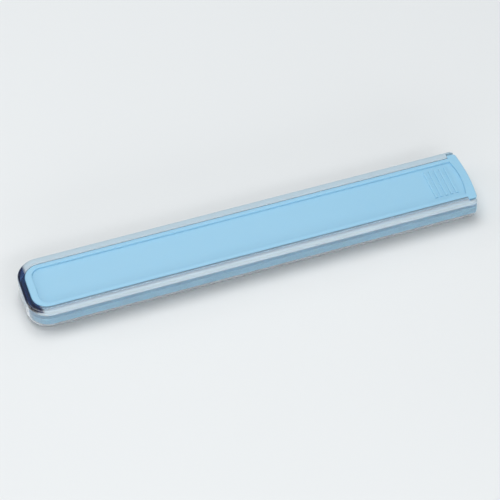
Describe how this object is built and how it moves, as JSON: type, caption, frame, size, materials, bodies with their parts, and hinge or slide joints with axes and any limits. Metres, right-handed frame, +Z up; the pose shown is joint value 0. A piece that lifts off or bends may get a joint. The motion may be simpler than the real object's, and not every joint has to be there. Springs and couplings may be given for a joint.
{
  "type": "slide-lid carrying case",
  "caption": "Slim pocket case: a clear sleeve with a pull-out tray and a ribbed lid that slides in the sleeve's side channels.",
  "frame": {"origin": "centre of the bounding box's bottom face, on the flat underside of the clear case", "axes": "+X along the case towards the ribbed, open end; +Z up through the lid; +Y to the case's left seen from above with +X ahead"},
  "size_m": [0.204, 0.0312, 0.012],
  "materials": {
    "clear_plastic": "clear, polished",
    "tray_plastic": "light blue, smooth satin",
    "lid_plastic": "light blue, smooth satin"
  },
  "bodies": {
    "case": {"clear_case": "clear_plastic"},
    "tray": {"inner_tray": "tray_plastic"},
    "lid": {"slide_lid": "lid_plastic"}
  },
  "joints": [
    {"name": "lid_slide", "type": "slide", "parent": "case", "child": "lid", "axis": [1, 0, 0], "range_m": [0, 0.19]},
    {"name": "tray_slide", "type": "slide", "parent": "case", "child": "tray", "axis": [1, 0, 0], "range_m": [0, 0.19]}
  ]
}
